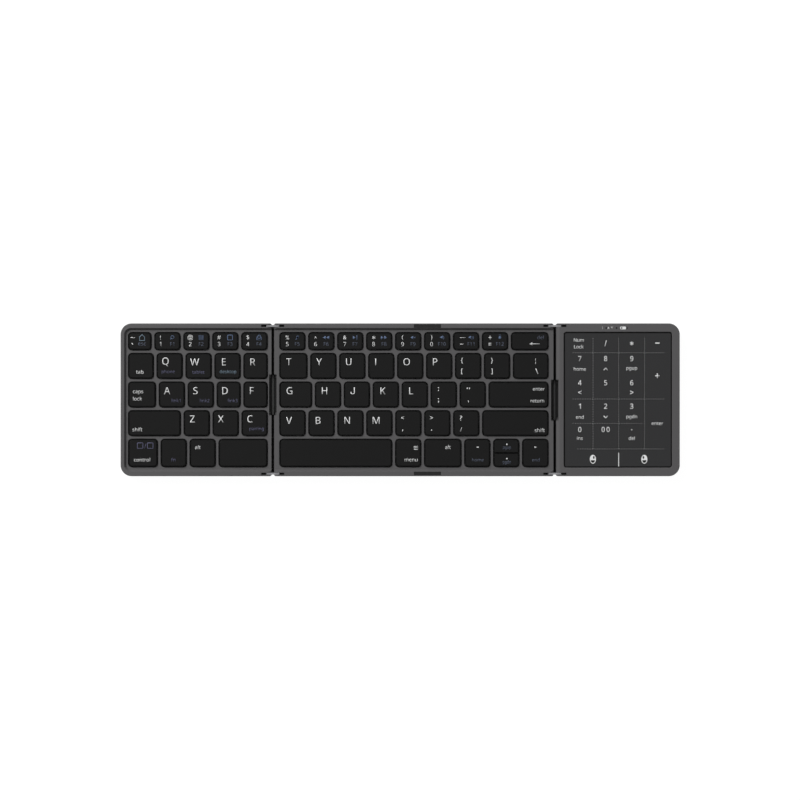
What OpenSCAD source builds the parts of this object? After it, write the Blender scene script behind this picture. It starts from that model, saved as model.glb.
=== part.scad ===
// Folding keyboard: a centre panel of keys, a key wing on its left and a touch wing on its right.
// Each wing turns half a turn on double-pivot links and lies face down on the centre panel.
// +X is right, +Y is away from the typist and +Z is up. The origin is on the resting surface,
// under the middle of the open keyboard. Lengths are in millimetres.

/* [Panels] */
// Depth of all three panels, front to rear
depth = 89.7; // [89.6:0.1:90.4]
// Width of the left key wing
left_w = 88.5; // [88.4:0.1:89]
// Width of the centre panel
center_w = 164; // [163.9:0.1:165]
// Width of the right touch wing
right_w = 72.5; // [72.4:0.1:74]
// Gap between neighbouring panels when open
fold_gap = 1.6; // [1.5:0.1:1.8]
// Radius of the four outer corners
corner_r = 6.5; // [6:0.1:7]
// Radius of the panel corners at the folds
fold_corner_r = 1; // [0.6:0.1:1.2]
// Thickness of the outer walls
wall_t = 1.2; // [1.1:0.1:1.3]

/* [Heights] */
// Height of the base covers above the resting surface
foot_h = 0.8; // [0.6:0.1:0.9]
// Thickness of the base covers' floors
floor_t = 1; // [0.9:0.1:1]
// Height of the seam between base cover and top frame
seam_z = 3; // [3:0.1:3.1]
// Height of the key decks
deck_z = 6.8; // [6.7:0.1:6.9]
// Thickness of the key decks
deck_t = 1.2; // [1.1:0.1:1.3]
// Height of the rims
rim_z = 8.2; // [8.2:0.1:8.4]
// Height of the key tops
key_z = 8; // [7.9:0.1:8]

/* [Keys] */
// Distance between neighbouring keys
pitch = 17; // [17:0.05:17.1]
// Width of the webs between keys in a row
web_x = 1.5; // [1.4:0.1:1.6]
// Width of the webs between rows
web_y = 1.4; // [1.3:0.1:1.5]
// Gap between a key cap and its opening
key_gap = 0.7; // [0.6:0.05:0.75]
// Gap between the two half-height arrow keys
split_gap = 0.5; // [0.4:0.1:0.6]
// Corner radius of the openings
opening_r = 2.4; // [2.2:0.1:2.5]
// Travel of a key
travel = 1.5; // [1.2:0.1:1.5]

/* [Rims] */
// Width of the flat top of a rim
rim_flat = 2.7; // [2.6:0.1:2.8]
// Width of the flat top of the left wing's outer rim
side_rim_flat = 2.1; // [1.9:0.1:2.2]
// Width of the slope from a rim down to the deck
rim_slope = 1.2; // [1.1:0.1:1.5]
// Length of the dark inlays in the centre panel's rims
inlay_len = 15.9; // [14:0.1:17]
// Width of the dark inlays
inlay_w = 2.1; // [1.8:0.1:2.2]

/* [Hinges] */
// Distance between the two pivots of a link
pivot_span = 6.4; // [6.4:0.1:6.6]
// Gap between facing rims when folded
shut_gap = 0.4; // [0.3:0.1:0.4]
// Thickness of a link plate
link_t = 1.07; // [1:0.01:1.1]
// Width of the slots that the links lie in
link_slot_w = 1.25; // [1.2:0.01:1.3]
// Distance of a link's middle from the front or rear edge
link_inset = 1.45; // [1.4:0.05:1.5]
// Reach of a slot from the middle of the fold
slot_reach = 6.75; // [6.5:0.05:7]
// Radius of the hinge pins
pin_r = 0.5; // [0.4:0.05:0.5]
// Running clearance of a pin in the top frames, on the radius
pin_fit = 0.03; // [0.02:0.01:0.05]

/* [Cable] */
// Length of the covers over the flat cables
cover_len = 23.4; // [20:0.1:24]
// Width of the covers
cover_w = 1.7; // [1.5:0.1:1.7]
// Middle of the left fold's cable, from the middle of the depth
left_cable_y = 2.9; // [0:0.1:4]
// Middle of the right fold's cable, from the middle of the depth
right_cable_y = -0.2; // [-2:0.1:2]

/* [Touch wing] */
// Width of the touch surface
pad_w = 62.1; // [61.8:0.1:62.2]
// Depth of the touch surface
pad_d = 78.2; // [78:0.1:78.4]
// Corner radius of the touch surface
pad_r = 0.8; // [0.6:0.1:1]

/* [Hidden] */

// Colours as the photograph shows them
shell_grey = [0.35, 0.35, 0.35];
cap_black = [0.14, 0.14, 0.14];
pad_black = [0.2, 0.2, 0.2];
rubber_black = [0.1, 0.1, 0.1];
steel_grey = [0.68, 0.68, 0.68];

// A cut runs this far past the faces that it opens
cut = 1;

// Where the panels start and end
total_w = left_w + center_w + right_w + 2 * fold_gap;
left_x0 = -total_w / 2;
left_x1 = left_x0 + left_w;
center_x0 = left_x1 + fold_gap;
center_x1 = center_x0 + center_w;
right_x0 = center_x1 + fold_gap;
right_x1 = right_x0 + right_w;
left_fold_x = left_x1 + fold_gap / 2;
right_fold_x = center_x1 + fold_gap / 2;
edge_y = depth / 2;

// A panel is its left end, its right end, and which of those ends is at a fold
LEFT = [left_x0, left_x1, false, true];
CENTER = [center_x0, center_x1, true, true];
RIGHT = [right_x0, right_x1, true, false];

// The walls of a base cover and a top frame meet on the seam
floor_z = foot_h + floor_t;
deck_under = deck_z - deck_t;
base_edge_r = 0.9;
rim_edge_r = 0.5;

// Pivots. Folded rims face each other across shut_gap, which sets the pivots' height.
pivot_dx = pivot_span / 2;
pivot_z = rim_z - (pivot_span - shut_gap) / 2;
end_round_r = (pivot_span - shut_gap) / 2;
link_end = 1;
link_top = 2;
knuckle_len = 8.4;
knuckle_d = 4.3;
pin_skin = 0.35;
pin_len = 3.4;
stop_gap = 0.08;
stop_z = 2.2;

// Cable covers and the notches that they lie in
notch_depth = 1.4;
notch_len = cover_len + 0.6;
notch_wall = 2.2;
cover_z = 3.15;
cover_gap = 0.35;
shelf_z = 2.8;
cable_t = 0.2;
cable_w = 20;
cable_reach = 6;
cable_slot_t = 0.35;

// Keys: the key field's front and rear ends are the same on both key panels
ROW_DEPTHS = [10.85, 15.4, 15.4, 15.4, 16.8];
field_rear = (sum(ROW_DEPTHS) + 4 * web_y) / 2;
left_field_x = left_x0 + 4.35;
left_field_w = 82.1;
center_field_x = center_x0 + 3.1;
center_field_w = 158.15;
opening_bevel = 0.2;

// Middle of each web in a row, measured from the left end of its key field
LEFT_WEBS = [run(14.7, 4), run(16, 4), concat(run(17.3, 3), [67]), run(31.9, 3), run(18.4, 3)];
CENTER_WEBS = [
    run(16.2, 8), run(17.4, 8), run(20.1, 7), run(16.3, 7), concat(run(67.2, 2), run(107.8, 3))
];

// Key caps and what carries them. Scissors and domes are drawn pressed flat, clear of a pressed cap.
cap_wall = 0.9;
cap_top_t = 1.1;
cap_r = 1.7;
cap_bevel = 0.35;
cap_draft = 0.1;
skirt_z = 5.8;
plate_z = 2.4;
membrane_z = 2.9;
sheet_top = 3.2;
dome_h = 1.3;
scissor_z = 3.3;
scissor_t = 1;
scissor_bar = 0.9;
scissor_gap = 0.25;
wide_key = 24;

// Fasteners, feet and magnets
screw_inset = 2.9;
screw_r = 0.7;
boss_r = 1.5;
boss_z = 2.4;
head_r = 1.35;
head_h = 0.7;
head_z = 0.9;
CENTER_SCREWS = [center_x0 + 12, center_x0 + 52, center_x1 - 52, center_x1 - 12];
LEFT_SCREWS = [left_x0 + 20, left_x1 - 12];
RIGHT_SCREWS = [right_x0 + 12, right_x1 - 12];
foot_r = 4;
foot_pocket = 0.4;
CENTER_FEET = [center_x0 + 14, center_x1 - 14];
LEFT_FEET = [left_x0 + 14, left_x1 - 18];
RIGHT_FEET = [right_x0 + 18, right_x1 - 14];
foot_y = 33;
magnet_len = 5;
magnet_w = 2.2;
magnet_h = 2;
magnet_end = 5;
magnet_inset = 1.9;

// Where the ends of the folded wings meet, halfway between their free ends, and the inlays there
meeting_x = left_fold_x + right_fold_x;
inlay_depth = 1;
inlay_drop = 0.15;
inlay_inset = 0.55;

// Touch wing
pad_x0 = right_x0 + 5.15;
pad_gap = 0.7;
window_bevel = 0.25;
pad_z = rim_z - 0.25;
pad_t = 0.9;
ledge = 1.9;
board_t = 0.7;
light_r = 0.45;
light_y = edge_y - 2.75;
LIGHTS = [right_x0 + 29.3, right_x0 + 35.4, right_x0 + 41.5];
socket_x = right_x1 - 24;
socket_w = 8.9;
socket_h = 3.2;
socket_len = 7.2;
battery_size = [40, 48, 2.9];
battery_corner = [right_x0 + 16, -34, plate_z];

function sum(list, i = 0) = i < len(list) ? list[i] + sum(list, i + 1) : 0;

// Webs that follow each other at the key pitch
function run(first, count) = [for (i = [0:count - 1]) first + i * pitch];

// The opening of key i in a row: left end, right end, front end, rear end
function cell(webs, field_x, field_w, row, i) =
    let (
        row_rear = field_rear - (row > 0 ? sum([for (r = [0:row - 1]) ROW_DEPTHS[r] + web_y]) : 0),
        from = i == 0 ? 0 : webs[row][i - 1] + web_x / 2,
        to = i == len(webs[row]) ? field_w : webs[row][i] - web_x / 2
    )
    [field_x + from, field_x + to, row_rear - ROW_DEPTHS[row], row_rear];

function left_cell(row, i) = cell(LEFT_WEBS, left_field_x, left_field_w, row, i);
function center_cell(row, i) = cell(CENTER_WEBS, center_field_x, center_field_w, row, i);
function left_row(row) = [for (i = [0:len(LEFT_WEBS[row])]) left_cell(row, i)];
function center_row(row) = [for (i = [0:len(CENTER_WEBS[row])]) center_cell(row, i)];
function left_cells() = [for (row = [0:4]) each left_row(row)];
function center_cells() = [for (row = [0:4]) each center_row(row)];

// The up and down arrows share one opening, the last but one of the front row
arrow_cell = center_cell(4, 4);

function inner(c, by) = [c[0] + by, c[1] - by, c[2] + by, c[3] - by];
function middle(c) = [(c[0] + c[1]) / 2, (c[2] + c[3]) / 2];
function width(c) = c[1] - c[0];
function length(c) = c[3] - c[2];

// Front half (side -1) or rear half (side 1) of a shared cap outline
function half(c, side) = let (my = middle(c)[1])
    side < 0 ? [c[0], c[1], c[2], my - split_gap / 2] : [c[0], c[1], my + split_gap / 2, c[3]];

// Cap outlines: one to an opening, or two where the arrows share it
function caps(cells) = [
    for (c = cells) each c == arrow_cell
        ? [half(inner(c, key_gap), -1), half(inner(c, key_gap), 1)] : [inner(c, key_gap)]
];

// Rectangle with round corners, one radius at its left end and one at its right
module soft_rect(c, rl, rr) {
    translate([c[0] + rl, c[2]]) square([width(c) - rl - rr, length(c)]);
    translate([c[0], c[2] + rl]) square([rl, length(c) - 2 * rl]);
    translate([c[1] - rr, c[2] + rr]) square([rr, length(c) - 2 * rr]);
    for (y = [c[2] + rl, c[3] - rl]) translate([c[0] + rl, y]) circle(r = rl);
    for (y = [c[2] + rr, c[3] - rr]) translate([c[1] - rr, y]) circle(r = rr);
}

// Outline of a panel, drawn in by an inset that leaves the ends at folds where they are
module plan(p, inset = 0) {
    rl = p[2] ? fold_corner_r : corner_r - inset;
    rr = p[3] ? fold_corner_r : corner_r - inset;
    soft_rect([
        p[0] + (p[2] ? 0 : inset), p[1] - (p[3] ? 0 : inset), inset - edge_y, edge_y - inset
    ], rl, rr);
}

// What rounds off the two corners at a fold, in the fold's own frame
module fold_corner_cuts()
    for (m = [0, 1]) mirror([0, m, 0]) translate([fold_gap / 2, -edge_y, foot_h - cut])
        linear_extrude(rim_z - foot_h + 2 * cut) difference() {
            translate([-cut, -cut]) square(fold_corner_r + cut);
            translate([fold_corner_r, fold_corner_r]) circle(r = fold_corner_r);
        }

// Carries a section (inward, up) along the front, the rear and the free end of a panel.
// The children are drawn for a left end that is free.
module around(p) {
    x0 = p[0] + (p[2] ? 0 : corner_r);
    x1 = p[1] - (p[3] ? 0 : corner_r);
    for (m = [0, 1]) mirror([0, m, 0])
        translate([x0, -edge_y, 0]) rotate([90, 0, 90]) linear_extrude(x1 - x0) children();
    if (!p[2]) free_end() children();
    if (!p[3]) translate([p[0] + p[1], 0, 0]) mirror([1, 0, 0]) free_end_at(p[0]) children();

    module free_end() free_end_at(p[0]) children();
    module free_end_at(x) {
        translate([x, edge_y - corner_r, 0]) rotate([90, 0, 0])
            linear_extrude(depth - 2 * corner_r) children();
        for (m = [0, 1]) mirror([0, m, 0])
            translate([x + corner_r, corner_r - edge_y, 0]) rotate([0, 0, 180])
                rotate_extrude(angle = 90) translate([corner_r, 0]) mirror([1, 0]) children();
    }
}

// Places the children at a fold, with +X pointing from its middle into the panel
module at_fold(x, into) translate([x, 0, 0]) mirror([into < 0 ? 1 : 0, 0, 0]) children();

// Fold ends of a panel, as [middle of the fold, direction into the panel, middle of the cable]
function folds(p) = [
    if (p[2]) p == CENTER ? [left_fold_x, 1, left_cable_y] : [right_fold_x, 1, right_cable_y],
    if (p[3]) p == CENTER ? [right_fold_x, -1, right_cable_y] : [left_fold_x, -1, left_cable_y]
];

// Box in a fold's own frame: x from the fold's middle, y from the middle of the depth
module fold_box(x0, x1, y0, y1, z0, z1) translate([x0, y0, z0]) cube([x1 - x0, y1 - y0, z1 - z0]);

// Section of a base cover's wall, with its rounded bottom edge
module base_section() {
    translate([0, foot_h + base_edge_r]) square([wall_t, seam_z - foot_h - base_edge_r]);
    translate([base_edge_r, foot_h]) square([wall_t, base_edge_r + 0.3]);
    translate([base_edge_r, foot_h + base_edge_r]) circle(r = base_edge_r);
}

// Section of a top frame's wall, with its rounded top edge
module rim_section() {
    translate([0, seam_z]) square([wall_t, rim_z - rim_edge_r - seam_z]);
    translate([rim_edge_r, rim_z - 2 * rim_edge_r]) square([wall_t - rim_edge_r, 2 * rim_edge_r]);
    translate([rim_edge_r, rim_z - rim_edge_r]) circle(r = rim_edge_r);
}

// Tray with stops at its folds, ribs, feet pockets and counterbored screw holes
module base_cover(p, screws, feet) {
    difference() {
        union() {
            around(p) base_section();
            translate([0, 0, foot_h]) linear_extrude(floor_t) plan(p, base_edge_r);
            for (f = folds(p)) at_fold(f[0], f[1]) fold_stop(f[2]);
            for (x = screws, m = [0, 1]) mirror([0, m, 0])
                translate([x, screw_inset - edge_y, floor_z]) cylinder(r = 2, h = boss_z - floor_z);
            floor_ribs(p);
            for (i = [0:len(screws) - 2], m = [0, 1]) mirror([0, m, 0])
                locating_lip(screws[i] + 3, screws[i + 1] - 3);
        }
        for (x = screws, m = [0, 1]) mirror([0, m, 0]) translate([x, screw_inset - edge_y, 0]) {
            translate([0, 0, foot_h - cut]) cylinder(r = head_r + 0.1, h = cut + head_z + head_h - foot_h);
            cylinder(r = screw_r + 0.1, h = seam_z);
        }
        for (x = feet, y = [-foot_y, foot_y])
            translate([x, y, foot_h - cut]) cylinder(r = foot_r, h = cut + foot_pocket);
        for (f = folds(p)) at_fold(f[0], f[1]) fold_corner_cuts();
    }
}

// Wall at a fold. Its foot reaches almost to the middle of the fold, where it stops the panel level.
// Beside the cable it is a low shelf that stands back from the cover.
module fold_stop(cable_y) {
    y = edge_y - fold_corner_r;
    n = notch_len / 2;
    for (s = [[-y, cable_y - n], [cable_y + n, y]]) {
        fold_box(stop_gap, fold_gap / 2 + wall_t, s[0], s[1], foot_h, stop_z);
        fold_box(fold_gap / 2, fold_gap / 2 + wall_t, s[0], s[1], foot_h, seam_z);
    }
    fold_box(stop_gap, fold_gap / 2 + notch_depth, cable_y - n, cable_y + n, foot_h, floor_z);
    fold_box(cover_w / 2 + cover_gap, fold_gap / 2 + notch_depth, cable_y - n, cable_y + n, foot_h, shelf_z);
}

// Low ribs that carry what lies in the tray
module floor_ribs(p) {
    rib_t = 0.8;
    margin = 7;
    count = round((p[1] - p[0]) / 18);
    step = (p[1] - p[0] - 2 * margin) / count;
    for (i = [0:count])
        translate([p[0] + margin + i * step - rib_t / 2, -36, floor_z - 0.2])
            cube([rib_t, 72, plate_z - floor_z + 0.2]);
}

// Lip that locates the top frame's wall from inside
module locating_lip(x0, x1)
    translate([x0, wall_t + 0.1 - edge_y, floor_z - 0.2]) cube([x1 - x0, 0.8, 4.2 - floor_z]);

// Shell of a top frame: walls, a plate from the deck's underside up to the rims, and fold ends
module frame_shell(p, screws) {
    around(p) rim_section();
    translate([0, 0, deck_under]) linear_extrude(rim_z - deck_under) plan(p, rim_edge_r);
    for (f = folds(p)) at_fold(f[0], f[1]) {
        x = fold_gap / 2;
        y = edge_y - rim_edge_r;
        n = notch_len / 2 + wall_t;
        fold_box(x, x + wall_t, -y, y, seam_z, deck_z);
        fold_box(x, x + notch_wall, f[2] - n, f[2] + n, seam_z, deck_z);
        for (m = [0, 1]) mirror([0, m, 0])
            fold_box(x, x + knuckle_len, -edge_y, knuckle_d - edge_y, seam_z, deck_z);
    }
    for (x = screws, m = [0, 1]) mirror([0, m, 0])
        translate([x, screw_inset - edge_y, boss_z]) cylinder(r = boss_r, h = deck_z - boss_z);
}

// What the hinges and the cable take out of a top frame, in a fold's own frame
module fold_cuts(cable_y, notch_top) {
    fold_corner_cuts();
    difference() {
        fold_box(-cut, pivot_dx, -edge_y - cut, edge_y + cut, pivot_z, rim_z + cut);
        translate([pivot_dx, 0, pivot_z]) rotate([90, 0, 0])
            cylinder(r = end_round_r, h = depth + 4 * cut, center = true);
    }
    for (m = [0, 1]) mirror([0, m, 0]) {
        slot_y = link_inset - edge_y;
        fold_box(-cut, slot_reach, slot_y - link_slot_w / 2, slot_y + link_slot_w / 2,
            pivot_z - link_end - 0.2, rim_z + cut);
        translate([pivot_dx, pin_skin - edge_y, pivot_z]) rotate([-90, 0, 0])
            cylinder(r = pin_r + pin_fit, h = knuckle_d + cut);
    }
    n = notch_len / 2;
    fold_box(-cut, fold_gap / 2 + notch_depth, cable_y - n, cable_y + n, seam_z - cut, notch_top);
    fold_box(-cut, fold_gap / 2 + notch_wall + cut, cable_y - cable_w / 2 - 0.4,
        cable_y + cable_w / 2 + 0.4, seam_z - cut, seam_z + cable_slot_t);
}

// Pilot holes up into the bosses
module pilot_holes(screws)
    for (x = screws, m = [0, 1]) mirror([0, m, 0])
        translate([x, screw_inset - edge_y, boss_z - cut]) cylinder(r = screw_r, h = 5);

// The hollow above a key deck, with sloping sides, open at the folds
module deck_hollow(p) {
    r = 4;
    rise = rim_z - deck_z;
    x0 = p[2] ? p[0] - cut : p[0] + side_rim_flat + r;
    top = edge_y - rim_flat;
    floor_y = top - rim_slope;
    translate([x0, 0, 0]) rotate([90, 0, 90]) linear_extrude(p[1] + cut - x0)
        polygon([[-floor_y, deck_z], [floor_y, deck_z], [top, rim_z], [top, rim_z + cut],
            [-top, rim_z + cut], [-top, rim_z]]);
    if (!p[2]) {
        xe = p[0] + side_rim_flat;
        rotate([90, 0, 0]) linear_extrude(2 * (top - r), center = true)
            polygon([[xe + rim_slope, deck_z], [x0 + cut, deck_z], [x0 + cut, rim_z + cut],
                [xe, rim_z + cut], [xe, rim_z]]);
        for (m = [0, 1]) mirror([0, m, 0]) translate([x0, r - top, 0]) {
            translate([0, 0, deck_z]) cylinder(r1 = r - rim_slope, r2 = r, h = rise);
            translate([0, 0, rim_z]) cylinder(r = r, h = cut);
        }
    }
}

// Rounded openings of the keys, bevelled at the deck
module key_openings(cells) {
    translate([0, 0, deck_under - cut]) linear_extrude(deck_t + 3 * cut)
        for (c = cells) soft_rect(c, opening_r, opening_r);
    for (c = cells) flared_edge(c, opening_r, opening_bevel, deck_z);
}

// Cuts the bevel round an opening in a face at height z
module flared_edge(c, r, bevel, z) taper(c, r, -bevel - 0.1, z - bevel, z + 0.1);

// Slab with round corners whose outline draws in by b from z0 up to z1, or grows where b is negative
module taper(c, r, b, z0, z1) {
    w = width(c);
    d = length(c);
    h = z1 - z0;
    for (x = [c[0] + r, c[1] - r], y = [c[2] + r, c[3] - r])
        translate([x, y, z0]) cylinder(r1 = r, r2 = r - b, h = h);
    translate([middle(c)[0], middle(c)[1], z0]) {
        rotate([90, 0, 0]) linear_extrude(d - 2 * r, center = true)
            polygon([[-w / 2, 0], [w / 2, 0], [w / 2 - b, h], [b - w / 2, h]]);
        rotate([90, 0, 90]) linear_extrude(w - 2 * r, center = true)
            polygon([[-d / 2, 0], [d / 2, 0], [d / 2 - b, h], [b - d / 2, h]]);
    }
}

// Key deck with raised front and rear rims
module key_frame(p, cells, screws) {
    difference() {
        frame_shell(p, screws);
        deck_hollow(p);
        for (f = folds(p)) at_fold(f[0], f[1]) fold_cuts(f[2], deck_z + cut);
        key_openings(cells);
        pilot_holes(screws);
        if (p == CENTER) rim_inlay_places(0);
    }
}

module rim_inlay_places(drop)
    for (m = [0, 1]) mirror([0, m, 0])
        translate([meeting_x - inlay_len / 2, inlay_inset - edge_y, rim_z - inlay_depth])
            cube([inlay_len, inlay_w, drop > 0 ? inlay_depth - drop : inlay_depth + cut]);

// Steel sheet under the keys, with a vent hole under each dome, and wires under the wide keys
module support_plate(p, cells) {
    color(steel_grey) difference() {
        translate([0, 0, plate_z]) linear_extrude(membrane_z - plate_z) sheet(p, 0);
        for (c = caps(cells)) translate([middle(c)[0], middle(c)[1], plate_z - cut])
            cylinder(r = 0.6, h = 3);
    }
    color(steel_grey) for (c = caps(cells)) if (width(c) > wide_key) wire(c);
}

module sheet(p, cable_relief) {
    x0 = p[0] + (p[2] ? notch_wall + 0.2 : 4.3);
    x1 = p[1] - (p[3] ? notch_wall + 0.2 : 4.3);
    difference() {
        translate([x0, -field_rear]) square([x1 - x0, 2 * field_rear]);
        if (cable_relief > 0) for (f = folds(p)) at_fold(f[0], f[1])
            translate([0, f[2] - cable_w / 2 - 0.5])
                square([fold_gap / 2 + cable_relief, cable_w + 1]);
    }
}

// Wire under the front edge of a wide key, with an arm at each end
module wire(c) {
    r = 0.4;
    arm = 4;
    reach = width(c) / 2 - 3;
    m = middle(c);
    translate([m[0], c[2] + 1.5, sheet_top + 0.1 + r]) {
        rotate([0, 90, 0]) cylinder(r = r, h = 2 * reach, center = true);
        for (s = [-1, 1]) translate([s * reach, 0, 0]) {
            sphere(r = r);
            rotate([-90, 0, 0]) cylinder(r = r, h = arm);
        }
    }
}

// Contact sheet with one rubber dome under each key
module membrane(p, cells)
    color(rubber_black) {
        translate([0, 0, membrane_z]) linear_extrude(sheet_top - membrane_z) sheet(p, cable_reach + 1);
        for (c = caps(cells)) translate([middle(c)[0], middle(c)[1], sheet_top])
            cylinder(r1 = 1.45, r2 = 1.1, h = dome_h);
    }

// Two nested frames under each key, or one where the cap is short
module scissors(cells)
    color([0.85, 0.85, 0.82]) for (c = caps(cells)) {
        w = min(width(c) - 2.6, 11.5);
        d = min(length(c) - 2.6, 9.6);
        m = middle(c);
        step = 2 * (scissor_bar + scissor_gap);
        translate([m[0], m[1], scissor_z]) linear_extrude(scissor_t) {
            square_ring(w, d);
            if (d > 6.5) square_ring(w - step, d - step);
        }
    }

module square_ring(w, d) difference() {
    square([w, d], center = true);
    square([w - 2 * scissor_bar, d - 2 * scissor_bar], center = true);
}

// A key cap: straight skirt, bevelled all round its top, hollow, with hooks for its scissors.
// shell is the outline whose corners are rounded. outline is the cap's own, which is shorter where
// two caps share a shell.
module key_cap(outline, shell) {
    w = width(outline);
    d = length(outline);
    m = middle(outline);
    ceiling = key_z - cap_top_t;
    color(cap_black) difference() {
        if (outline == shell) cap_body(shell);
        else intersection() {
            cap_body(shell);
            translate([m[0], m[1], 0]) rotate([90, 0, 90])
                linear_extrude(w + cut, center = true) cap_section(d);
        }
        translate([m[0], m[1], (ceiling + skirt_z - cut) / 2])
            cube([w - 2 * cap_wall, d - 2 * cap_wall, ceiling - skirt_z + cut], center = true);
    }
    color(cap_black) for (sx = [-1, 1], sy = [-1, 1])
        translate([m[0] + sx * 3.4, m[1] + sy * min(3, d / 2 - 2), ceiling - 0.3])
            cube([0.8, 1.4, 0.6], center = true);
    ribs = floor(w / 16) - 1;
    color(cap_black) if (ribs > 0) for (i = [1:ribs])
        translate([outline[0] + i * w / (ribs + 1), m[1], ceiling - 0.4])
            cube([0.8, d - 2 * cap_wall, 0.8], center = true);
}

// Skirt, then a slight draft, then the bevel
module cap_body(c) {
    draft_z = key_z - 3 * cap_bevel;
    bevel_z = key_z - cap_bevel;
    translate([0, 0, skirt_z]) linear_extrude(draft_z - skirt_z) soft_rect(c, cap_r, cap_r);
    taper(c, cap_r, cap_draft, draft_z, bevel_z);
    taper(inner(c, cap_draft), cap_r - cap_draft, cap_bevel, bevel_z, key_z);
}

// Section of a cap that is cut across, front to rear
module cap_section(d) {
    e = d / 2 - cap_draft;
    polygon([
        [-d / 2, skirt_z - cut], [d / 2, skirt_z - cut], [d / 2, key_z - 3 * cap_bevel],
        [e, key_z - cap_bevel], [e - cap_bevel, key_z], [cap_bevel - e, key_z],
        [-e, key_z - cap_bevel], [-d / 2, key_z - 3 * cap_bevel]
    ]);
}

module keys(cells) for (c = cells) key_cap(inner(c, key_gap), inner(c, key_gap));

module half_key(side) key_cap(half(inner(arrow_cell, key_gap), side), inner(arrow_cell, key_gap));

// Picks keys first to last of a row
function pick(row, first, last) = [for (i = [first:last]) row[i]];

module feet(places)
    color(rubber_black) for (x = places, y = [-foot_y, foot_y]) translate([x, y, 0]) {
        cylinder(r1 = foot_r - 0.3, r2 = foot_r, h = 0.3);
        translate([0, 0, 0.3]) cylinder(r = foot_r, h = foot_h + foot_pocket - 0.3);
    }

// Screws: a flat head with a cross recess in its counterbore, and a shank up into the boss
module screws(places)
    color(steel_grey) for (x = places, m = [0, 1]) mirror([0, m, 0])
        translate([x, screw_inset - edge_y, head_z]) difference() {
            union() {
                cylinder(r = head_r, h = head_h);
                cylinder(r = screw_r, h = 5);
            }
            cross_recess();
        }

module cross_recess() for (a = [0, 90]) rotate([0, 0, a])
    cube([1.3, 0.3, 0.8], center = true);

// Block magnets under the rims, close to a wing's free end
module magnets(x) color(steel_grey) for (m = [0, 1]) mirror([0, m, 0])
    translate([x, magnet_inset - edge_y, deck_under - magnet_h]) cube([magnet_len, magnet_w, magnet_h]);

// Link plate: a flat bar with round ends, its top edge a little above the pivots
module link_plate(x) {
    module outline() {
        reach = pivot_dx + link_end;
        translate([-reach, -link_end + 1]) square([2 * reach, link_top - 1 + link_end - 1]);
        translate([-pivot_dx, -link_end]) square([2 * pivot_dx, link_end + link_top]);
        for (sx = [-1, 1], z = [1 - link_end, link_top - 1])
            translate([sx * pivot_dx, z]) circle(r = 1);
    }
    color(steel_grey) for (m = [0, 1]) mirror([0, m, 0])
        translate([x, link_inset + link_t / 2 - edge_y, pivot_z]) rotate([90, 0, 0]) difference() {
            linear_extrude(link_t) outline();
            for (sx = [-1, 1]) translate([sx * pivot_dx, 0, -cut])
                cylinder(r = pin_r, h = link_t + 2 * cut);
        }
}

module hinge_pins(x)
    color(steel_grey) for (m = [0, 1], sx = [-1, 1]) mirror([0, m, 0])
        translate([x + sx * pivot_dx, pin_skin + 0.05 - edge_y, pivot_z]) rotate([-90, 0, 0])
            cylinder(r = pin_r, h = pin_len);

// Cover on the middle of the flat cable: a flat foot, an arched top and a slot for the cable
module cable_cover(x, y)
    color([0.19, 0.19, 0.19]) translate([x, y, cover_z]) difference() {
        rotate([90, 0, 0]) linear_extrude(cover_len, center = true) {
            circle(d = cover_w);
            translate([-cover_w / 2, -cover_w / 2]) square([cover_w, cover_w / 2]);
        }
        cube([cover_w + cut, cable_w + 0.3, cable_slot_t], center = true);
    }

module flat_cable(x, y)
    color(rubber_black) translate([x, y, cover_z])
        cube([fold_gap + 2 * cable_reach, cable_w, cable_t], center = true);

module center_base_cover() color(shell_grey) base_cover(CENTER, CENTER_SCREWS, CENTER_FEET);
module center_top_frame() color(shell_grey) key_frame(CENTER, center_cells(), CENTER_SCREWS);
module center_support_plate() support_plate(CENTER, center_cells());
module center_membrane() membrane(CENTER, center_cells());
module center_scissors() scissors(center_cells());
module center_rim_inlays() color(rubber_black) rim_inlay_places(inlay_drop);
module center_feet() feet(CENTER_FEET);
module center_screws() screws(CENTER_SCREWS);

module left_base_cover() color(shell_grey) base_cover(LEFT, LEFT_SCREWS, LEFT_FEET);
module left_top_frame() color(shell_grey) key_frame(LEFT, left_cells(), LEFT_SCREWS);
module left_support_plate() support_plate(LEFT, left_cells());
module left_membrane() membrane(LEFT, left_cells());
module left_scissors() scissors(left_cells());
module left_magnets() magnets(left_x0 + magnet_end);
module left_feet() feet(LEFT_FEET);
module left_screws() screws(LEFT_SCREWS);

// The right cover's locating lip is cut away for the charging socket
module right_base_cover() color(shell_grey) difference() {
    base_cover(RIGHT, RIGHT_SCREWS, RIGHT_FEET);
    translate([socket_x - socket_w / 2 - 1, edge_y - socket_len - 1, seam_z - 0.1])
        cube([socket_w + 2, socket_len, seam_z]);
}

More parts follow.
